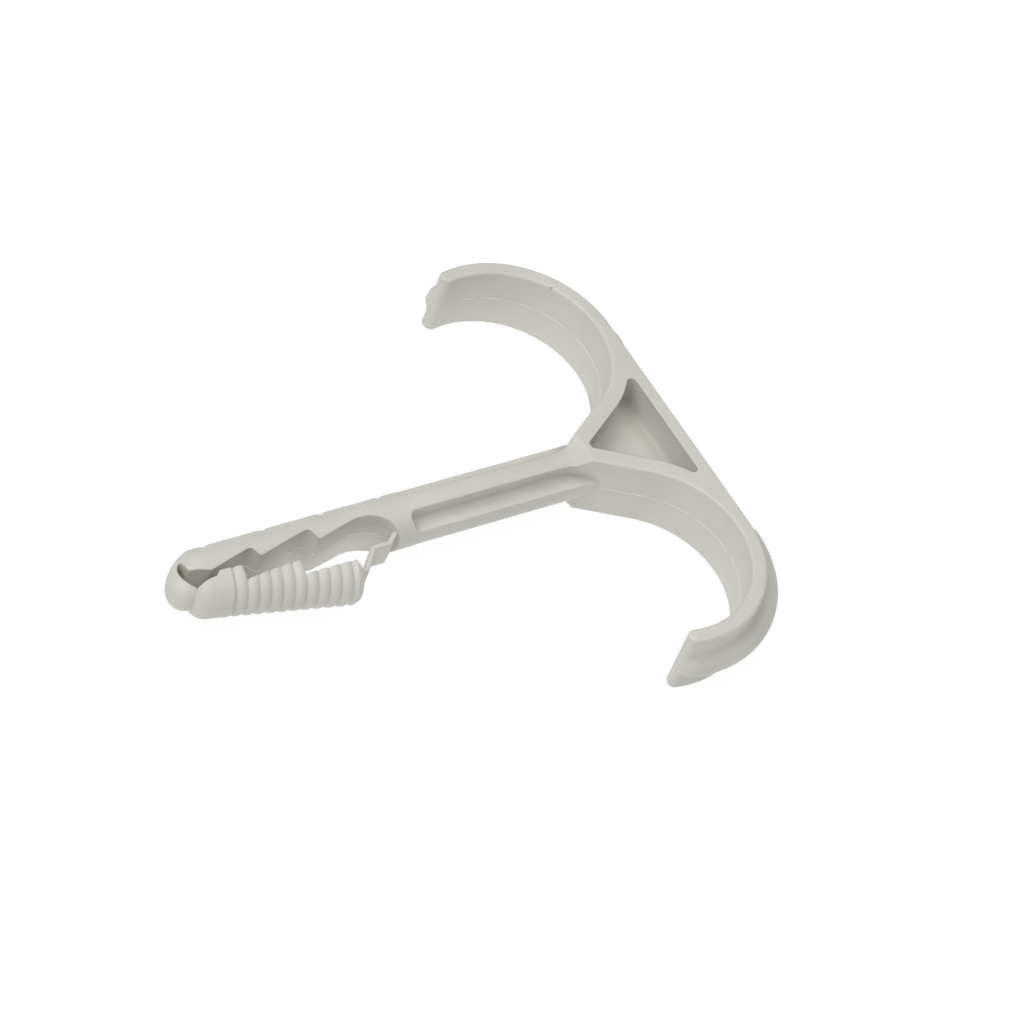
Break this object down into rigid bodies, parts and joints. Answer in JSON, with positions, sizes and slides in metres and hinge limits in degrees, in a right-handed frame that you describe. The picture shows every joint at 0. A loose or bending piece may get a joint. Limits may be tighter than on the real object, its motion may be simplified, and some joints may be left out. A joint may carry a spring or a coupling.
{
  "type": "double push-in pipe clip",
  "caption": "One-piece moulded clip: a hook on either side of a push-in wall plug holds pipes or cables against the wall, and a ribbed wedge spreads the plug in its hole.",
  "frame": {"origin": "on the plug's axis, level with the hooks' centres, half-way through the band's width", "axes": "+X along the plug, from its nose to the back wall; +Y to the hook away from the wedge; +Z along the held pipes"},
  "size_m": [0.0618, 0.0526, 0.0074],
  "materials": {
    "moulding": "fine matte moulded surface"
  },
  "bodies": {
    "root": {"double_clip": "moulding"}
  },
  "joints": []
}
